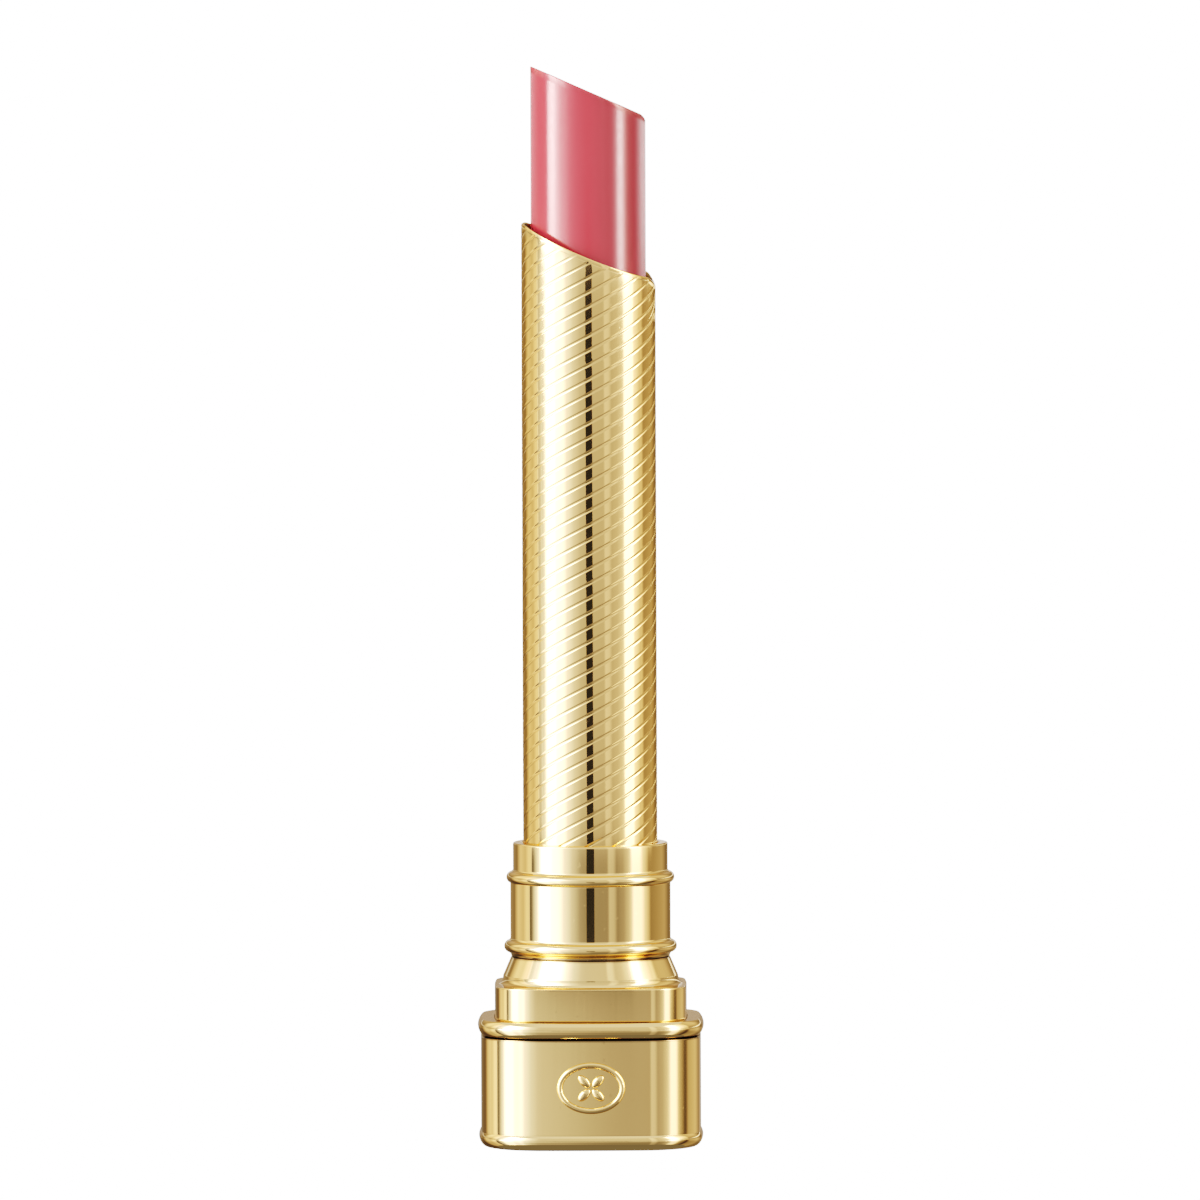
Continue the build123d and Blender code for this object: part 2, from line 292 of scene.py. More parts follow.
def tent_step(value, start, end):
    """0 before start, 1 after end, smooth between."""
    return tent_finish.node(
        "ShaderNodeMapRange",
        {"interpolation_type": "SMOOTHSTEP"},
        {"Value": value, "From Min": start, "From Max": end},
    )


def tent_rise(start, end):
    """0 below the height start, 1 above the height end, both in mm."""
    return tent_step(tent_up, start * MM, end * MM)


def tent_window(value, low, high, soft):
    """1 between low and high, 0 outside them, smooth over soft."""
    rise = tent_step(value, low - soft / 2, low + soft / 2)
    fall = tent_step(value, high - soft / 2, high + soft / 2)
    return rise * (1 - fall)


def tent_patches(patches):
    """The sum of windows on the bearing, each times its gain."""
    return sum(tent_window(bearing, *patch) * gain for *patch, gain in patches)


middle_glow = tent_patches(middle_patches) * tent_rise(*neck_edge)
foot_gain = tent_patches(foot_patches) * (1 - tent_rise(*block_edge)) + 1
foot_glow = tent_window(bearing, *front_patch) * (1 - tent_rise(*foot_glow_edge))
foot_share = (1 - tent_step(bearing, *foot_fade)) * foot_left_glow + foot_front_glow

# The mouth is cut on a slant, so the light that only the wax mirrors starts lower on the right
# than on the left.
half_bearing = bearing * (math.pi / 360)
above_mouth = tent_up + half_bearing.maths("SINE", half_bearing) * (mouth_swing * MM)
wax_share = tent_window(above_mouth, wax_low * MM, wax_high * MM, wax_soft * MM)

upper_front = tent_window(bearing, *upper_front_patch) * upper_front_loss
upper_light = tent_rise(*upper_edge) * (upper_gain - upper_front) + 1
lower_light = 1 - (1 - tent_rise(*lower_edge)) * lower_loss
diffuse_ray = tent_finish.node("ShaderNodeLightPath", output="Is Diffuse Ray")
matt_loss = tent_step(bearing, *right_edge) * right_loss + diffuse_loss
tent_glow = (
    (tent_ramp(tent_light, tent_peak) * tent_peak + middle_glow) * (1 - wax_share)
    + tent_ramp(stick_light, stick_peak) * stick_peak * wax_share
    + foot_glow * foot_share
) * (upper_light * lower_light * foot_gain * (1 - diffuse_ray * matt_loss))
warmth = tent_ramp(tent_warmth, 1) * (1 - wax_share * wax_whiteness) * (1 - diffuse_ray)
tent_colour = tent_finish.node(
    "ShaderNodeMix",
    {"data_type": "RGBA"},
    {"Factor": warmth, "A": (1, 1, 1, 1), "B": warm_white},
    "Result",
)
tent_shine = tent_finish.node(
    "ShaderNodeEmission", None, {"Color": tent_colour, "Strength": tent_glow}
)
tent_finish.node("ShaderNodeOutputMaterial", None, {"Surface": tent_shine})

tent_sides = 96
tent_turn = np.linspace(0, 2 * np.pi, tent_sides, endpoint=False)
tent_ring = np.stack(
    [tent_radius * np.cos(tent_turn), tent_radius * np.sin(tent_turn), 0 * tent_turn], 1
)
tent_points = np.concatenate([tent_ring + (0, 0, tent_low), tent_ring + (0, 0, tent_high)])
tent_corner = np.arange(tent_sides)
tent_next = (tent_corner + 1) % tent_sides
tent_faces = np.stack(
    [tent_corner, tent_next, tent_next + tent_sides, tent_corner + tent_sides], 1
)
stage_piece(
    "tent_wall",
    tent_points.tolist(),
    tent_faces.tolist(),
    tent_finish.owner,
    camera=False,
)

lid_face = [tuple(range(tent_sides))]
for lid_name, lid_height, lid_light in (
    ("tent_top", tent_high, tent_top_light),
    ("tent_bottom", tent_low, tent_bottom_light),
):
    lid_points = (tent_ring + (0, 0, lid_height)).tolist()
    lid_glow = plain_glow(lid_name + "_glow", lid_light)
    stage_piece(lid_name, lid_points, lid_face, lid_glow, camera=False)

card_gap = 0.40
card_half_angle = math.radians(5.6)
card_half = card_gap * math.tan(card_half_angle)
card_glow = 0.045
card_low = -14.5 * MM
card_high = 55.6 * MM
card_points = [
    (side * card_half, -card_gap, height)
    for height in (card_low, card_high)
    for side in (-1, 1)
]
stage_piece(
    "black_card",
    card_points,
    [(0, 1, 3, 2)],
    plain_glow("card_black", card_glow),
    camera=False,
    diffuse=False,
    transmission=False,
)

# ======== base shell ========
# A drawn brass square with soft corners, polished and lacquered pale gold. Its lower edge is
# rolled into a low bead that it stands on.


def skin(name, grid, loop=True, low_pole=None, high_pole=None):
    """Quads over a grid of points.

    Rows follow the profile, upwards on the outside, and columns go anticlockwise round the
    axis and meet again. With loop the profile meets itself too; a pole closes an open end
    with triangles.
    """
    rows, columns = grid.shape[:2]
    points = grid.reshape(-1, 3)
    last = rows if loop else rows - 1
    row = np.arange(last)[:, None]
    column = np.arange(columns)[None, :]
    above = (row + 1) % rows
    beside = (column + 1) % columns
    quads = np.stack(
        [
            row * columns + column,
            row * columns + beside,
            above * columns + beside,
            above * columns + column,
        ],
        -1,
    ).reshape(-1, 4)
    faces = quads.tolist()
    around = np.arange(columns)
    onward = (around + 1) % columns
    if low_pole is not None:
        tip = np.full(columns, len(points))
        points = np.concatenate([points, [low_pole]])
        faces += np.stack([tip, onward, around], 1).tolist()
    if high_pole is not None:
        tip = np.full(columns, len(points))
        points = np.concatenate([points, [high_pole]])
        edge = (rows - 1) * columns
        faces += np.stack([tip, edge + around, edge + onward], 1).tolist()
    mesh = bpy.data.meshes.new(name)
    mesh.from_pydata(points.tolist(), [], faces)
    mesh.polygons.foreach_set("use_smooth", np.ones(len(mesh.polygons), dtype=bool))
    mesh.update()
    piece = bpy.data.objects.new(name, mesh)
    bpy.context.collection.objects.link(piece)
    return piece


def fit_out(piece, body, slot, material, *nodes):
    """The piece rides on its body, takes its finish and stands for its CAD nodes."""
    piece.data.materials.append(material)
    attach(piece, body)
    if nodes:
        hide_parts(*nodes)


slight_turn = math.radians(12)
most_of_run = 0.4
guard_reach = 1.2


def eased(corners, ease=0.06, steps=5, loop=True):
    """A profile whose corners are rounded off.

    Each corner is replaced by a parabola that starts and ends at most ease away from it, with
    one more point just outside each end to hold the straight runs straight. Turns slighter
    than slight_turn are left as they are.
    """
    corners = np.asarray(corners, float)
    count = len(corners)
    kept = []
    for index in range(count):
        here = corners[index]
        if not loop and index in (0, count - 1):
            kept.append(here[None])
            continue
        back = corners[index - 1] - here
        ahead = corners[(index + 1) % count] - here
        back_run = np.hypot(*back)
        ahead_run = np.hypot(*ahead)
        turn = -back @ ahead / (back_run * ahead_run)
        if turn > math.cos(slight_turn):
            kept.append(here[None])
            continue
        reach = min(ease, most_of_run * back_run, most_of_run * ahead_run)
        start = here + back / back_run * reach
        end = here + ahead / ahead_run * reach
        t = np.linspace(0, 1, steps + 1)[:, None]
        curve = (1 - t) ** 2 * start + 2 * t * (1 - t) * here + t**2 * end
        guard_start = here + back / back_run * reach * guard_reach
        guard_end = here + ahead / ahead_run * reach * guard_reach
        kept.append(np.concatenate([guard_start[None], curve, guard_end[None]]))
    line = np.concatenate(kept)
    return held(line, loop)


def held(line, loop=True, hold=0.05, long_run=0.6):
    """Adds a point hold in from each end of every run longer than long_run."""
    onward = np.roll(line, -1, axis=0)
    run = np.linalg.norm(onward - line, axis=1)
    if not loop:
        run[-1] = 0
    pieces = []
    for here, there, length in zip(line, onward, run):
        pieces.append(here)
        if length > long_run:
            way = (there - here) / length
            pieces += [here + way * hold, there - way * hold]
    return np.array(pieces)


side_bow = math.radians(3.0)


def side_radius(half, corner):
    """Radius of the faintly bowed sides that meet the corner arcs smoothly.

    A side turns by side_bow either way from its middle, and the corner arc takes up the rest
    of the quarter turn; the radius follows from both arcs sharing a tangent where they meet.
    """
    share = math.cos(side_bow) - math.sin(side_bow)
    return (half - share * corner) / (1 - share)


def square_walk(half, corner, corner_steps=30, side_steps=8):
    """Walk round a rounded square, anticlockwise from the left of its front side.

    Gives each step's point on the inner outline through the arc centres, and the outward
    direction there; a point of the outline is the first plus the corner radius times the
    second.
    """
    bow = side_radius(half, corner)
    side_turn = np.linspace(-side_bow, side_bow, side_steps + 1)[:-1]
    corner_turn = np.linspace(side_bow, np.pi / 2 - side_bow, corner_steps + 1)[:-1]
    side_out = np.stack([np.sin(side_turn), -np.cos(side_turn)], 1)
    corner_out = np.stack([np.sin(corner_turn), -np.cos(corner_turn)], 1)
    side_centre = np.array([[0.0, bow - half]]) + side_out * (bow - corner)
    corner_spot = (bow - corner) * math.sin(side_bow)
    corner_centre = np.tile([corner_spot, -corner_spot], (corner_turn.size, 1))
    centres = np.concatenate([side_centre, corner_centre])
    outs = np.concatenate([side_out, corner_out])
    quarter = np.array([[0.0, -1.0], [1.0, 0.0]])
    all_centres = []
    all_outs = []
    for _ in range(4):
        all_centres.append(centres)
        all_outs.append(outs)
        centres = centres @ quarter.T
        outs = outs @ quarter.T
    return np.concatenate(all_centres), np.concatenate(all_outs)


def square_grid(profile, half, corner):
    """Carry a profile of (half width, height) in mm round a rounded square.

    Where the half width differs from half, the corner radius changes by as much, so that all
    outlines share their corner centres.
    """
    centres, outs = square_walk(half, corner)
    reach = corner + profile[:, 0] - half
    flat = centres[None] + outs[None] * reach[:, None, None]
    heights = np.broadcast_to(profile[:, 1][:, None, None], flat.shape[:2] + (1,))
    return np.concatenate([flat, heights], 2) * MM


gold_edge = (1.0, 0.92, 0.80, 1)
# Painted shade: the colour and strength of the dark lines laid at seams and inside bores.
painted_shade_tint = (0.12, 0.085, 0.05, 1)
painted_shade_share = 0.95
bore_fade = 0.06
speck_level = 0.74


def gold_finish(name, tint, gloss, grain=1.0, edge=gold_edge, seams=(), bore=None):
    """Polished, lacquered gold.

    The colour drifts a little over centimetres. The roughness is gloss plus fine upright
    polishing lines and a few dull specks, and the same lines barely dent the surface. Each
    seam, a height and a reach in mm, gets a dark line of painted shade where the parts meet.
    Inside the radius bore, in mm, the metal is painted dark brown all over as painted shade.
    """
    gold = Finish(bpy.data.materials.new(name))
    place = gold.node("ShaderNodeTexCoord", None, None, "Object")
    drift = gold.node(
        "ShaderNodeTexNoise", None, {"Vector": place, "Scale": 90.0, "Detail": 2.0}
    )
    colour = gold.node(
        "ShaderNodeMix",
        {"data_type": "RGBA"},
        {
            "Factor": drift,
            "A": (*tint, 1),
            "B": (tint[0] * 0.97, tint[1] * 0.955, tint[2] * 0.9, 1),
        },
        "Result",
    )
    across, back, up = (
        gold.node("ShaderNodeSeparateXYZ", None, {"Vector": place}, axis) for axis in "XYZ"
    )
    # Painted shade: each seam gets a dark line standing in for the shade in the joint between
    # parts.
    painted_shade_masks = []
    for seam, reach in seams:
        away = up - seam * MM
        painted_shade_masks.append((away.maths("ABSOLUTE", away), 0.0, reach * MM))
    # Painted shade: inside the bore radius the colour is painted dark brown, standing in for
    # the shade inside the tube.
    if bore:
        squared = across * across + back * back
        radius = squared.maths("SQRT", squared)
        painted_shade_masks.append((radius, bore * MM, (bore + bore_fade) * MM))
    for value, full, clear in painted_shade_masks:
        painted_shade = gold.node(
            "ShaderNodeMapRange",
            {"interpolation_type": "SMOOTHSTEP"},
            {
                "Value": value,
                "From Min": full,
                "From Max": clear,
                "To Min": painted_shade_share,
                "To Max": 0.0,
            },
        )
        colour = gold.node(
            "ShaderNodeMix",
            {"data_type": "RGBA"},
            {"Factor": painted_shade, "A": colour, "B": painted_shade_tint},
            "Result",
        )
    drawn = gold.node(
        "ShaderNodeMapping", None, {"Vector": place, "Scale": (2600.0, 2600.0, 90.0)}
    )
    lines = gold.node(
        "ShaderNodeTexNoise", None, {"Vector": drawn, "Scale": 1.0, "Detail": 3.0}
    )
    specks = gold.node(
        "ShaderNodeTexNoise", None, {"Vector": place, "Scale": 1500.0, "Detail": 1.0}
    )
    dull = specks.maths("GREATER_THAN", specks, speck_level)
    roughness = gloss + lines * (0.04 * grain) + dull * 0.05
    dent = gold.node(
        "ShaderNodeBump",
        None,
        {"Height": lines, "Strength": 0.02 * grain, "Distance": 0.00002},
    )
    body = gold.node(
        "ShaderNodeBsdfPrincipled",
        None,
        {
            "Base Color": colour,
            "Metallic": 1.0,
            "Roughness": roughness,
            "Specular Tint": edge,
            "Normal": dent,
        },
    )
    gold.node("ShaderNodeOutputMaterial", None, {"Surface": body})
    return gold.owner


gold_tint = (0.90, 0.62, 0.28)

base_half = 9.175
base_corner = 5.3
base_top = 9.25
shell_wall = 0.8
foot_half = 9.35
foot_round = 0.8
foot_mid = 0.85
foot_bead_top = 1.42
rim_width = 2.4
rim_thickness = 0.6
ridge_turn = 6.0
ridge_gap = 0.006


def half_bead(across, up, radius, start, end, squash=1.0):
    """A rounded bead with a hair-fine ridge at its widest point.

    Two arcs meet at (across, up): the lower turns from start up to level, the upper from
    ridge_turn above level on to end. Angles are in degrees; squash narrows both arcs.
    """
    lower_turn = np.radians(np.append(np.linspace(start, -1, 26), -0.2))
    upper_turn = np.radians(np.append(ridge_turn, np.linspace(ridge_turn + 1, end, 20)))
    level = math.radians(ridge_turn)
    lower = [
        (across + radius * squash * (math.cos(a) - 1), up + radius * math.sin(a))
        for a in lower_turn
    ]
    upper = [
        (
            across + radius * squash * (math.cos(a) - math.cos(level)),
            up + ridge_gap + radius * (math.sin(a) - math.sin(level)),
        )
        for a in upper_turn
    ]
    return lower + upper


shell_profile = half_bead(foot_half, foot_mid, foot_round, -90, 40) + [
    (base_half, foot_bead_top),
    (base_half, base_top),
    (base_half - rim_width, base_top),
    (base_half - rim_width, base_top - rim_thickness),
    (base_half - shell_wall, base_top - rim_thickness),
    (base_half - shell_wall, 0),
]
# The seams given to the gold finishes here and below get dark lines of painted shade.
base_gold = gold_finish("pale_gold_polished", gold_tint, 0.05, seams=((base_top, 0.2),))
base_shell = skin(
    "base_shell_gold", square_grid(eased(shell_profile, 0.08), base_half, base_corner)
)
fit_out(base_shell, "base", "gold_metal", base_gold, "base_shell")

# ======== emblem ========
# A small oval frame with a four-petal flower in it, pressed up from the front of the shell
# and polished with it.

emblem_height = 5.3
emblem_half_width = 2.6
emblem_half_height = 1.9
stroke_half = 0.25
stroke_rise = 0.27
stroke_sunk = 0.06
petal_count = 4
petal_reach = 0.8
petal_long = 0.66
petal_wide = 0.36


def on_front(across, up, out):
    """Points in metres from mm across, above the foot and out of the base's front face.

    The face's faint bow is taken as a parabola.
    """
    bowed = across**2 / (2 * side_radius(base_half, base_corner))
    return np.stack([across, bowed - base_half - out, up], -1) * MM


def oval_stroke():
    """A rounded stroke round an ellipse.

    The middle line is an ellipse; across it the height is the square root of a half circle,
    stretched to the rise.
    """
    turn = np.linspace(0, 2 * np.pi, 160, endpoint=False)
    section = np.linspace(0, 2 * np.pi, 28, endpoint=False)
    mid = np.stack([emblem_half_width * np.cos(turn), emblem_half_height * np.sin(turn)], 1)
    way = np.stack(
        [emblem_half_height * np.cos(turn), emblem_half_width * np.sin(turn)], 1
    )
    way /= np.linalg.norm(way, axis=1, keepdims=True)
    side = stroke_half * np.cos(section)
    rise = np.where(np.sin(section) > 0, stroke_rise, stroke_sunk) * np.sin(section)
    flat = mid[None] + way[None] * side[:, None, None]
    out = np.broadcast_to(rise[:, None], flat.shape[:2])
    return on_front(flat[..., 0], flat[..., 1] + emblem_height, out)


def petal(angle):
    """A domed petal: an ellipse whose height falls off as a quarter circle to its edge."""
    rim = np.linspace(0, 2 * np.pi, 40, endpoint=False)
    depth = np.linspace(-0.5 * np.pi, 0.5 * np.pi, 17)[1:-1]
    spread = np.cos(depth)[:, None]
    along = petal_reach + petal_long * spread * np.cos(rim)[None]
    aside = petal_wide * spread * np.sin(rim)[None]
    rise = np.where(depth > 0, stroke_rise, stroke_sunk) * np.sin(depth)
    across = along * math.cos(angle) - aside * math.sin(angle)
    up = along * math.sin(angle) + aside * math.cos(angle)
    out = np.broadcast_to(rise[:, None], across.shape)
    centre = np.array([petal_reach * math.cos(angle), petal_reach * math.sin(angle)])
    poles = [
        on_front(centre[0], centre[1] + emblem_height, height)
        for height in (-stroke_sunk, stroke_rise)
    ]
    return on_front(across, up + emblem_height, out), poles


emblem_ring = skin("emblem_oval", oval_stroke())
fit_out(emblem_ring, "base", "gold_metal", base_gold)
for number in range(petal_count):
    grid, poles = petal(math.radians(45 + 90 * number))
    leaf = skin("emblem_petal_%d" % (number + 1), grid, False, *poles)
    fit_out(leaf, "base", "gold_metal", base_gold)

# ======== bead ring ========
# A half-round square ring of the same gold, laid on the shell; the block drops into its seat.

ring_half = 9.42
ring_round = 0.79
ring_mid = base_top + 0.82
ring_width = 2.0
ring_lift = 0.03
ring_seat = 10.6
ring_squash = 0.8
block_half = 8.0
ring_profile = half_bead(ring_half, ring_mid, ring_round, -90, 62, ring_squash) + [
    (block_half + 0.06, ring_seat + 0.08),
    (block_half + 0.02, ring_seat),
    (ring_half - ring_width, ring_seat),
    (ring_half - ring_width, base_top + ring_lift),
]
ring_gold = gold_finish("pale_gold_ring", gold_tint, 0.05, seams=((base_top, 0.3),))
bead_ring = skin(
    "bead_ring_gold", square_grid(eased(ring_profile, 0.04), base_half, base_corner)
)
fit_out(bead_ring, "base", "gold_trim", ring_gold, "base_bead_ring")

# ======== shoulder block ========
# A hollow square block whose flat top sweeps up in a cove to a short round cone. Drawn from
# the same brass as the shell.

block_corner = 3.7
block_top = 13.45
cone_top = 15.7
cone_top_radius = 6.62
cove_top_radius = 7.3
cove_foot_radius = 7.72
cove_height = 0.65
cone_bore = 6.25
block_pocket = 12.0
block_wall = 0.95
block_lift = 0.02
block_ledge = 0.27

wall_profile = eased(
    [
        (block_half - block_wall, block_pocket),
        (block_half - block_wall, ring_seat + block_lift),
        (block_half, ring_seat + block_lift),
        (block_half, block_top),
        (block_half - block_ledge, block_top),
    ],
    0.2,
    8,
    False,
)
wall_grid = square_grid(wall_profile, block_half, block_corner)
cove_turn = np.linspace(0, 1, 12)
cove_line = [
    (
        cove_foot_radius + (cove_top_radius - cove_foot_radius) * math.sin(t * math.pi / 2),
        block_top + cove_height * (1 - math.cos(t * math.pi / 2)),
    )
    for t in cove_turn
]
cone_profile = eased(
    cove_line
    + [
        (cone_top_radius, cone_top - block_lift),
        (cone_bore, cone_top - block_lift),
        (cone_bore, block_pocket),
    ],
    0.05,
    5,
    False,
)
wall_middle = wall_grid[-1, :, :2]
wall_way = wall_middle / np.linalg.norm(wall_middle, axis=1, keepdims=True)
cone_flat = wall_way[None] * cone_profile[:, 0][:, None, None] * MM
cone_rise = np.broadcast_to(
    cone_profile[:, 1][:, None, None] * MM, cone_flat.shape[:2] + (1,)
)
cone_grid = np.concatenate([cone_flat, cone_rise], 2)
shoulder = skin("shoulder_block_gold", np.concatenate([wall_grid, cone_grid]))
block_gold = gold_finish(
    "pale_gold_block", gold_tint, 0.05, seams=((ring_seat, 0.24), (cone_top, 0.25))
)
fit_out(shoulder, "base", "gold_metal", block_gold, "shoulder_block")

# ======== neck ========
# A turned brass neck, gold like the rest: one bead at its foot, one near its top, and a plain
# band above. It is pressed into the cone and the tube turns inside it.


def lathe(profile, columns=240):
    """Turn a profile of (radius, height) in mm about the upright axis."""
    turn = np.linspace(0, 2 * np.pi, columns, endpoint=False)
    round_part = np.stack([np.cos(turn), np.sin(turn)], 1)
    flat = round_part[None] * profile[:, 0][:, None, None]
    heights = np.broadcast_to(profile[:, 1][:, None, None], flat.shape[:2] + (1,))
    return np.concatenate([flat, heights], 2) * MM


def bead(across, up, radius, start):
    """A turned bead's points round its centre (across, up), from start to 80 degrees."""
    turn = np.radians(np.linspace(start, 80, 21))
    return [(across + radius * math.cos(a), up + radius * math.sin(a)) for a in turn]


# The two beads: centre across and up, radius, and the angle at which each starts.
low_bead = (6.7, 16.55, 0.5, -80)
high_bead = (6.53, 22.3, 0.47, -72)
neck_radius = 6.675
neck_low = 17.2
neck_high = 21.85
band_radius = 6.45
band_low = 22.9
neck_top = 25.2
neck_bore = 5.97
neck_lip = 0.45
tube_clear_radius = 5.66
neck_profile = (
    [(cone_top_radius - 0.02, cone_top), (cone_top_radius + 0.02, cone_top + 0.2)]
    + bead(*low_bead)
    + [(neck_radius, neck_low), (neck_radius, neck_high)]
    + bead(*high_bead)
    + [
        (band_radius, band_low),
        (band_radius, neck_top),
        (tube_clear_radius, neck_top),
        (tube_clear_radius, neck_top - neck_lip),
        (neck_bore, neck_top - neck_lip),
        (neck_bore, cone_top),
    ]
)
neck = skin("neck_gold", lathe(eased(neck_profile, 0.16, 7)))
neck_gold = gold_finish("pale_gold_neck", gold_tint, 0.03, 0.6, seams=((cone_top, 0.3),))
fit_out(neck, "base", "gold_trim", neck_gold, "neck_collar")

# ======== tube ========
# A thin drawn sleeve, gold outside and in, with fifteen fine right-handed spiral grooves
# rolled into it. Its mouth is cut on a slant and the lip is polished smooth.

tube_radius = 5.6
tube_wall = 0.3
tube_foot = 17.0
mouth_height = 74.42
mouth_slope = 0.415
mouth_lean = 0.04
mouth_dip = 0.22
low_corner = 0.86
low_corner_drop = 0.75
high_corner = -0.93
high_corner_drop = 0.2
groove_starts = 15
groove_lead = 18.2
groove_half = 0.34
groove_floor = 0.07
groove_depth = 0.032
land_crown = 0.0005
groove_phase = 0.4


def mouth_line(across, back):
    """Height of the mouth, in mm.

    A plane high on the left and low on the right and in front. It rises towards both sides by
    the square of the way out, and falls off by the square again in its low and high corners.
    """
    side = across / tube_radius
    plane = mouth_height - mouth_slope * across + mouth_lean * back
    low = np.clip((side - low_corner) / (1 - low_corner), 0, 1)
    high = np.clip((high_corner - side) / (1 + high_corner), 0, 1)
    corners = low_corner_drop * low**2 + high_corner_drop * high**2
    return plane + mouth_dip * side**2 - corners


def groove_cut(phase):
    """Depth in mm at a phase between two grooves, -0.5 to 0.5, with the groove at 0.

    The groove has a narrow flat floor and raised-cosine sides; the land between is crowned
    as a parabola.
    """
    pitch = 2 * np.pi * tube_radius / groove_starts
    away = np.abs(phase) * pitch
    inside = np.clip((away - groove_floor) / (groove_half - groove_floor), 0, 1)
    groove = 0.5 * (1 + np.cos(np.pi * inside))
    crown = ((away - pitch / 2) / (pitch / 2)) ** 2
    return groove_depth * groove + land_crown * crown


# The columns between one groove and the next stand closer where the surface curves.
half_phase = np.array([0.03, 0.045, 0.065, 0.085, 0.105, 0.125, 0.145, 0.165, 0.22, 0.30, 0.40])
start_phase = np.concatenate([[-0.5], -half_phase[::-1], [0], half_phase])
phase = np.tile(start_phase, groove_starts)
column_turn = (
    (np.repeat(np.arange(groove_starts), start_phase.size) + phase + groove_phase)
    * 2
    * np.pi
    / groove_starts
)
lead_turn = 2 * np.pi / groove_lead
rim_search = (60.0, 85.0)


def rim_heights(radius):
    """Where each spiral column meets the mouth, found by halving the interval 40 times."""
    low = np.full(column_turn.size, rim_search[0])
    high = np.full(column_turn.size, rim_search[1])
    for _ in range(40):
        middle = (low + high) / 2
        turn = column_turn + lead_turn * middle
        under = middle < mouth_line(radius * np.cos(turn), radius * np.sin(turn))
        low = np.where(under, middle, low)
        high = np.where(under, high, middle)
    return (low + high) / 2


rim_outer = rim_heights(tube_radius)
rim_inner = rim_heights(tube_radius - tube_wall)
wall_steps = 175
outer_lip = 0.06
inner_lip = 0.07
smooth_lip = 0.12
groove_runout = 0.35
climb = np.concatenate([np.linspace(0, 0.99, wall_steps), [0.994, 0.997, 1.0]])
outer_height = tube_foot + climb[:, None] * (rim_outer - outer_lip - tube_foot)[None]
fade = np.clip((rim_outer[None] - smooth_lip - outer_height) / groove_runout, 0, 1)
outer_radius = tube_radius - groove_cut(phase)[None] * fade
lip_profile = (
    (0.02, -0.02), (0.07, 0.0), (0.15, 0.0), (0.23, 0.0), (0.28, -0.02), (0.3, -inner_lip),
)
lip_radius = []
lip_height = []
for inward, rise in lip_profile:
    share = inward / tube_wall
    lip_radius.append(np.full(phase.size, tube_radius - inward))
    lip_height.append(rim_outer * (1 - share) + rim_inner * share + rise)
inner_climb = np.linspace(1, 0, 48)[1:]
inner_height = tube_foot + inner_climb[:, None] * (rim_inner - inner_lip - tube_foot)[None]
inner_radius = np.full(inner_height.shape, tube_radius - tube_wall)
all_radius = np.concatenate([outer_radius, np.array(lip_radius), inner_radius])
all_height = np.concatenate([outer_height, np.array(lip_height), inner_height])
all_turn = column_turn[None] + lead_turn * all_height
tube_grid = np.stack(
    [all_radius * np.cos(all_turn), all_radius * np.sin(all_turn), all_height], -1
)
# The tube's inside, within bore, is painted dark brown as painted shade.
tube_gold = gold_finish(
    "pale_gold_tube",
    (0.90, 0.60, 0.26),
    0.035,
    0.6,
    edge=(1.0, 0.84, 0.62, 1),
    bore=tube_radius - tube_wall,
)
tube = skin("tube_gold", tube_grid * MM)
fit_out(tube, "tube", "gold_tube", tube_gold, "outer_tube")

# ======== lipstick ========
# A moulded wax stick, warm rose, glossy from its mould, its top sliced on a slant. Its
# narrower foot sits in the cup of the carrier.

stick_radius = 4.79
stick_foot = 68.0
stem_radius = 4.38
stem_foot = 60.5
stem_chamfer = 0.1
step_ease = 0.06
stick_height = 87.85
stick_slope = 0.44
stick_lean = -0.05
stick_corner = 0.9
stick_corner_drop = 0.3
stick_rim = 0.09
stick_columns = 200


def stick_top(across, back):
    """Height of the slanted top, in mm: a plane whose low corner is rounded over."""
    corner = np.clip((across / stick_radius - stick_corner) / (1 - stick_corner), 0, 1)
    plane = stick_height - stick_slope * across + stick_lean * back
    return plane - stick_corner_drop * corner**2


stick_turn = np.linspace(0, 2 * np.pi, stick_columns, endpoint=False)


def top_round(radius):
    """Heights of the slanted top along a circle about the axis."""
    return stick_top(radius * np.cos(stick_turn), radius * np.sin(stick_turn))


foot_line = (
    (stem_radius - stem_chamfer, stem_foot),
    (stem_radius, stem_foot + stem_chamfer),
    (stem_radius, stick_foot - 0.02),
    (stem_radius + 0.04, stick_foot),
    (stick_radius - step_ease, stick_foot),
    (stick_radius, stick_foot + step_ease),
)
side_rise = top_round(stick_radius) - stick_rim - stick_foot
stick_rows = [(radius, np.full(stick_columns, height)) for radius, height in foot_line]
for share in np.linspace(0.01, 1, 40):
    stick_rows.append((stick_radius, stick_foot + share * side_rise))
for inset, fall in ((0.015, 0.045), (0.045, 0.015), (stick_rim, 0.0), (0.13, 0.0)):
    stick_rows.append((stick_radius - inset, top_round(stick_radius - inset) - fall))
for radius in (4.3, 3.6, 2.6, 1.6, 0.7):
    stick_rows.append((radius, top_round(radius)))
stick_grid = np.stack(
    [
        np.stack([radius * np.cos(stick_turn), radius * np.sin(stick_turn), height], -1)
        for radius, height in stick_rows
    ]
)


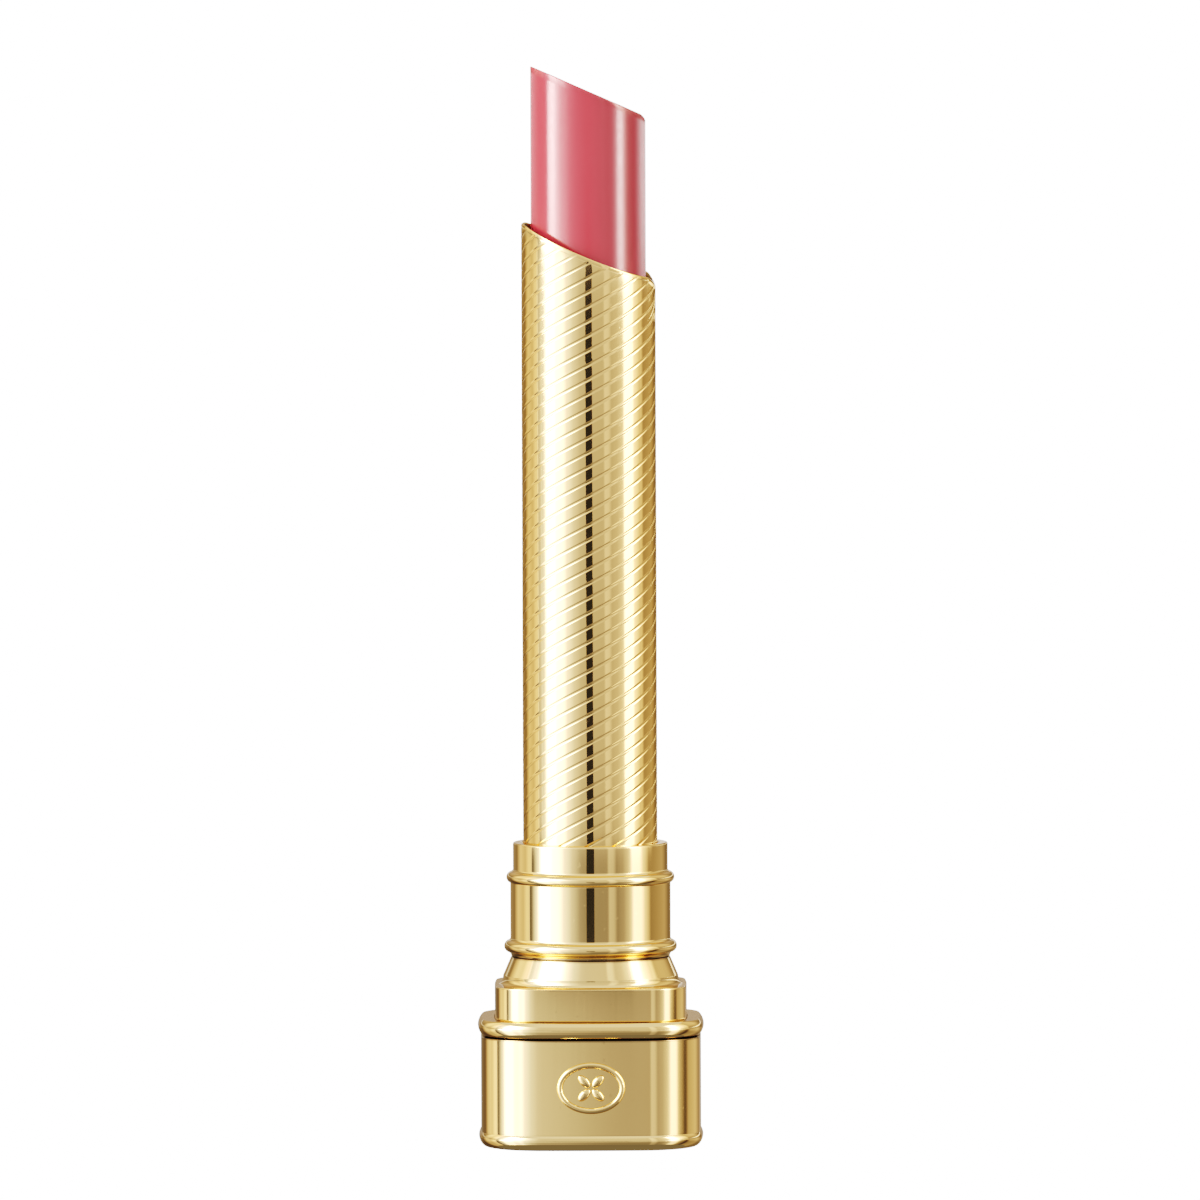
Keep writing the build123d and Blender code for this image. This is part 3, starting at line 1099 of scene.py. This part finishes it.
def wax_finish():
    """Rose wax: a slow drift in colour, faint upright mould lines and tiny pits."""
    wax = Finish(bpy.data.materials.new("rose_wax"))
    place = wax.node("ShaderNodeTexCoord", None, None, "Object")
    drift = wax.node(
        "ShaderNodeTexNoise", None, {"Vector": place, "Scale": 160.0, "Detail": 3.0}
    )
    colour = wax.node(
        "ShaderNodeMix",
        {"data_type": "RGBA"},
        {"Factor": drift, "A": (0.47, 0.045, 0.058, 1), "B": (0.44, 0.039, 0.052, 1)},
        "Result",
    )
    drawn = wax.node(
        "ShaderNodeMapping", None, {"Vector": place, "Scale": (1800.0, 1800.0, 40.0)}
    )
    lines = wax.node(
        "ShaderNodeTexNoise", None, {"Vector": drawn, "Scale": 1.0, "Detail": 2.0}
    )
    pits = wax.node(
        "ShaderNodeTexNoise", None, {"Vector": place, "Scale": 2500.0, "Detail": 1.0}
    )
    height = lines * 0.6 + pits * 0.4
    dent = wax.node(
        "ShaderNodeBump", None, {"Height": height, "Strength": 0.06, "Distance": 0.00003}
    )
    body = wax.node(
        "ShaderNodeBsdfPrincipled",
        None,
        {
            "Base Color": colour,
            "Roughness": 0.12 + pits * 0.1,
            "IOR": 1.46,
            "Specular IOR Level": 1.0,
            "Specular Tint": (1.0, 0.72, 0.72, 1),
            "Normal": dent,
        },
    )
    wax.node("ShaderNodeOutputMaterial", None, {"Surface": body})
    return wax.owner


stick = skin(
    "lipstick",
    stick_grid * MM,
    False,
    np.array([0, 0, stem_foot]) * MM,
    np.array([0, 0, stick_height]) * MM,
)
fit_out(stick, "carrier", "lipstick", wax_finish(), "bullet")

# ======== works inside ========
# Moulded, pressed and turned parts that nobody sees until the case is taken apart. They keep
# their shapes and get the grain of their own stuff.


plain = (1, 1, 1)
turned = (1, 1, 14)
dark_share = 0.82
roughness_drift = 0.2


def moulded(name, tint, roughness, metal=0.0, grain=900.0, depth=0.0001, stretch=plain):
    """A plain stuff: colour and roughness drift with noise, which also dents the surface."""
    stuff = Finish(bpy.data.materials.new(name))
    place = stuff.node("ShaderNodeTexCoord", None, None, "Object")
    pulled = stuff.node("ShaderNodeMapping", None, {"Vector": place, "Scale": stretch})
    noise = stuff.node(
        "ShaderNodeTexNoise", None, {"Vector": pulled, "Scale": grain, "Detail": 4.0}
    )
    colour = stuff.node(
        "ShaderNodeMix",
        {"data_type": "RGBA"},
        {"Factor": noise, "A": (*tint, 1), "B": (*(dark_share * part for part in tint), 1)},
        "Result",
    )
    dent = stuff.node(
        "ShaderNodeBump", None, {"Height": noise, "Strength": 0.35, "Distance": depth}
    )
    body = stuff.node(
        "ShaderNodeBsdfPrincipled",
        None,
        {
            "Base Color": colour,
            "Metallic": metal,
            "Roughness": noise * roughness_drift + (roughness - roughness_drift / 2),
            "Normal": dent,
        },
    )
    stuff.node("ShaderNodeOutputMaterial", None, {"Surface": body})
    return stuff.owner


acetal = {"grain": 700.0}
silicone = {"grain": 1600.0}
label_paper = {"grain": 2500.0, "depth": 0.00004}
cast_metal = {"metal": 1.0, "grain": 500.0, "stretch": turned}
satin_metal = {"metal": 1.0, "grain": 1400.0, "depth": 0.00003}
spring_metal = {"metal": 1.0, "depth": 0.00003}
ground_metal = {"metal": 1.0, "grain": 3000.0, "depth": 0.00002}
drawn_metal = {"metal": 1.0, "grain": 1200.0, "depth": 0.00003, "stretch": turned}
inside_stuffs = (
    ("base_core", "core_grey_moulding", (0.55, 0.53, 0.48), 0.5, {}),
    ("base_weight", "weight_zinc_plate", (0.50, 0.51, 0.53), 0.35, cast_metal),
    ("bottom_plate", "plate_satin_gold", (0.78, 0.60, 0.30), 0.35, satin_metal),
    ("base_label", "label_blank_paper", (0.85, 0.84, 0.80), 0.8, label_paper),
    ("spindle", "screw_acetal", (0.80, 0.79, 0.74), 0.38, acetal),
    ("bearing_bush", "bush_acetal", (0.72, 0.71, 0.66), 0.4, acetal),
    ("thrust_washer", "washer_slippery", (0.86, 0.86, 0.84), 0.3, {}),
    ("guide_tube", "guide_dark_moulding", (0.05, 0.042, 0.036), 0.42, {}),
    ("brake_ring_lower", "ring_silicone", (0.03, 0.03, 0.03), 0.6, silicone),
    ("brake_ring_upper", "ring_silicone_upper", (0.03, 0.03, 0.03), 0.6, silicone),
    ("retaining_clip", "clip_spring_steel", (0.45, 0.46, 0.48), 0.3, spring_metal),
    ("carrier", "carrier_acetal", (0.74, 0.72, 0.67), 0.4, acetal),
    ("follower_pin_left", "pin_ground_steel", (0.56, 0.57, 0.58), 0.2, ground_metal),
    ("follower_pin_right", "pin_ground_steel_right", (0.56, 0.57, 0.58), 0.2, ground_metal),
    ("bullet_cup", "cup_anodised_gold", (0.80, 0.66, 0.42), 0.3, drawn_metal),
)
for node_name, stuff_name, tint, roughness, grade in inside_stuffs:
    stuff = moulded(stuff_name, tint, roughness, **grade)
    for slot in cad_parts[node_name].material_slots:
        slot.material = stuff
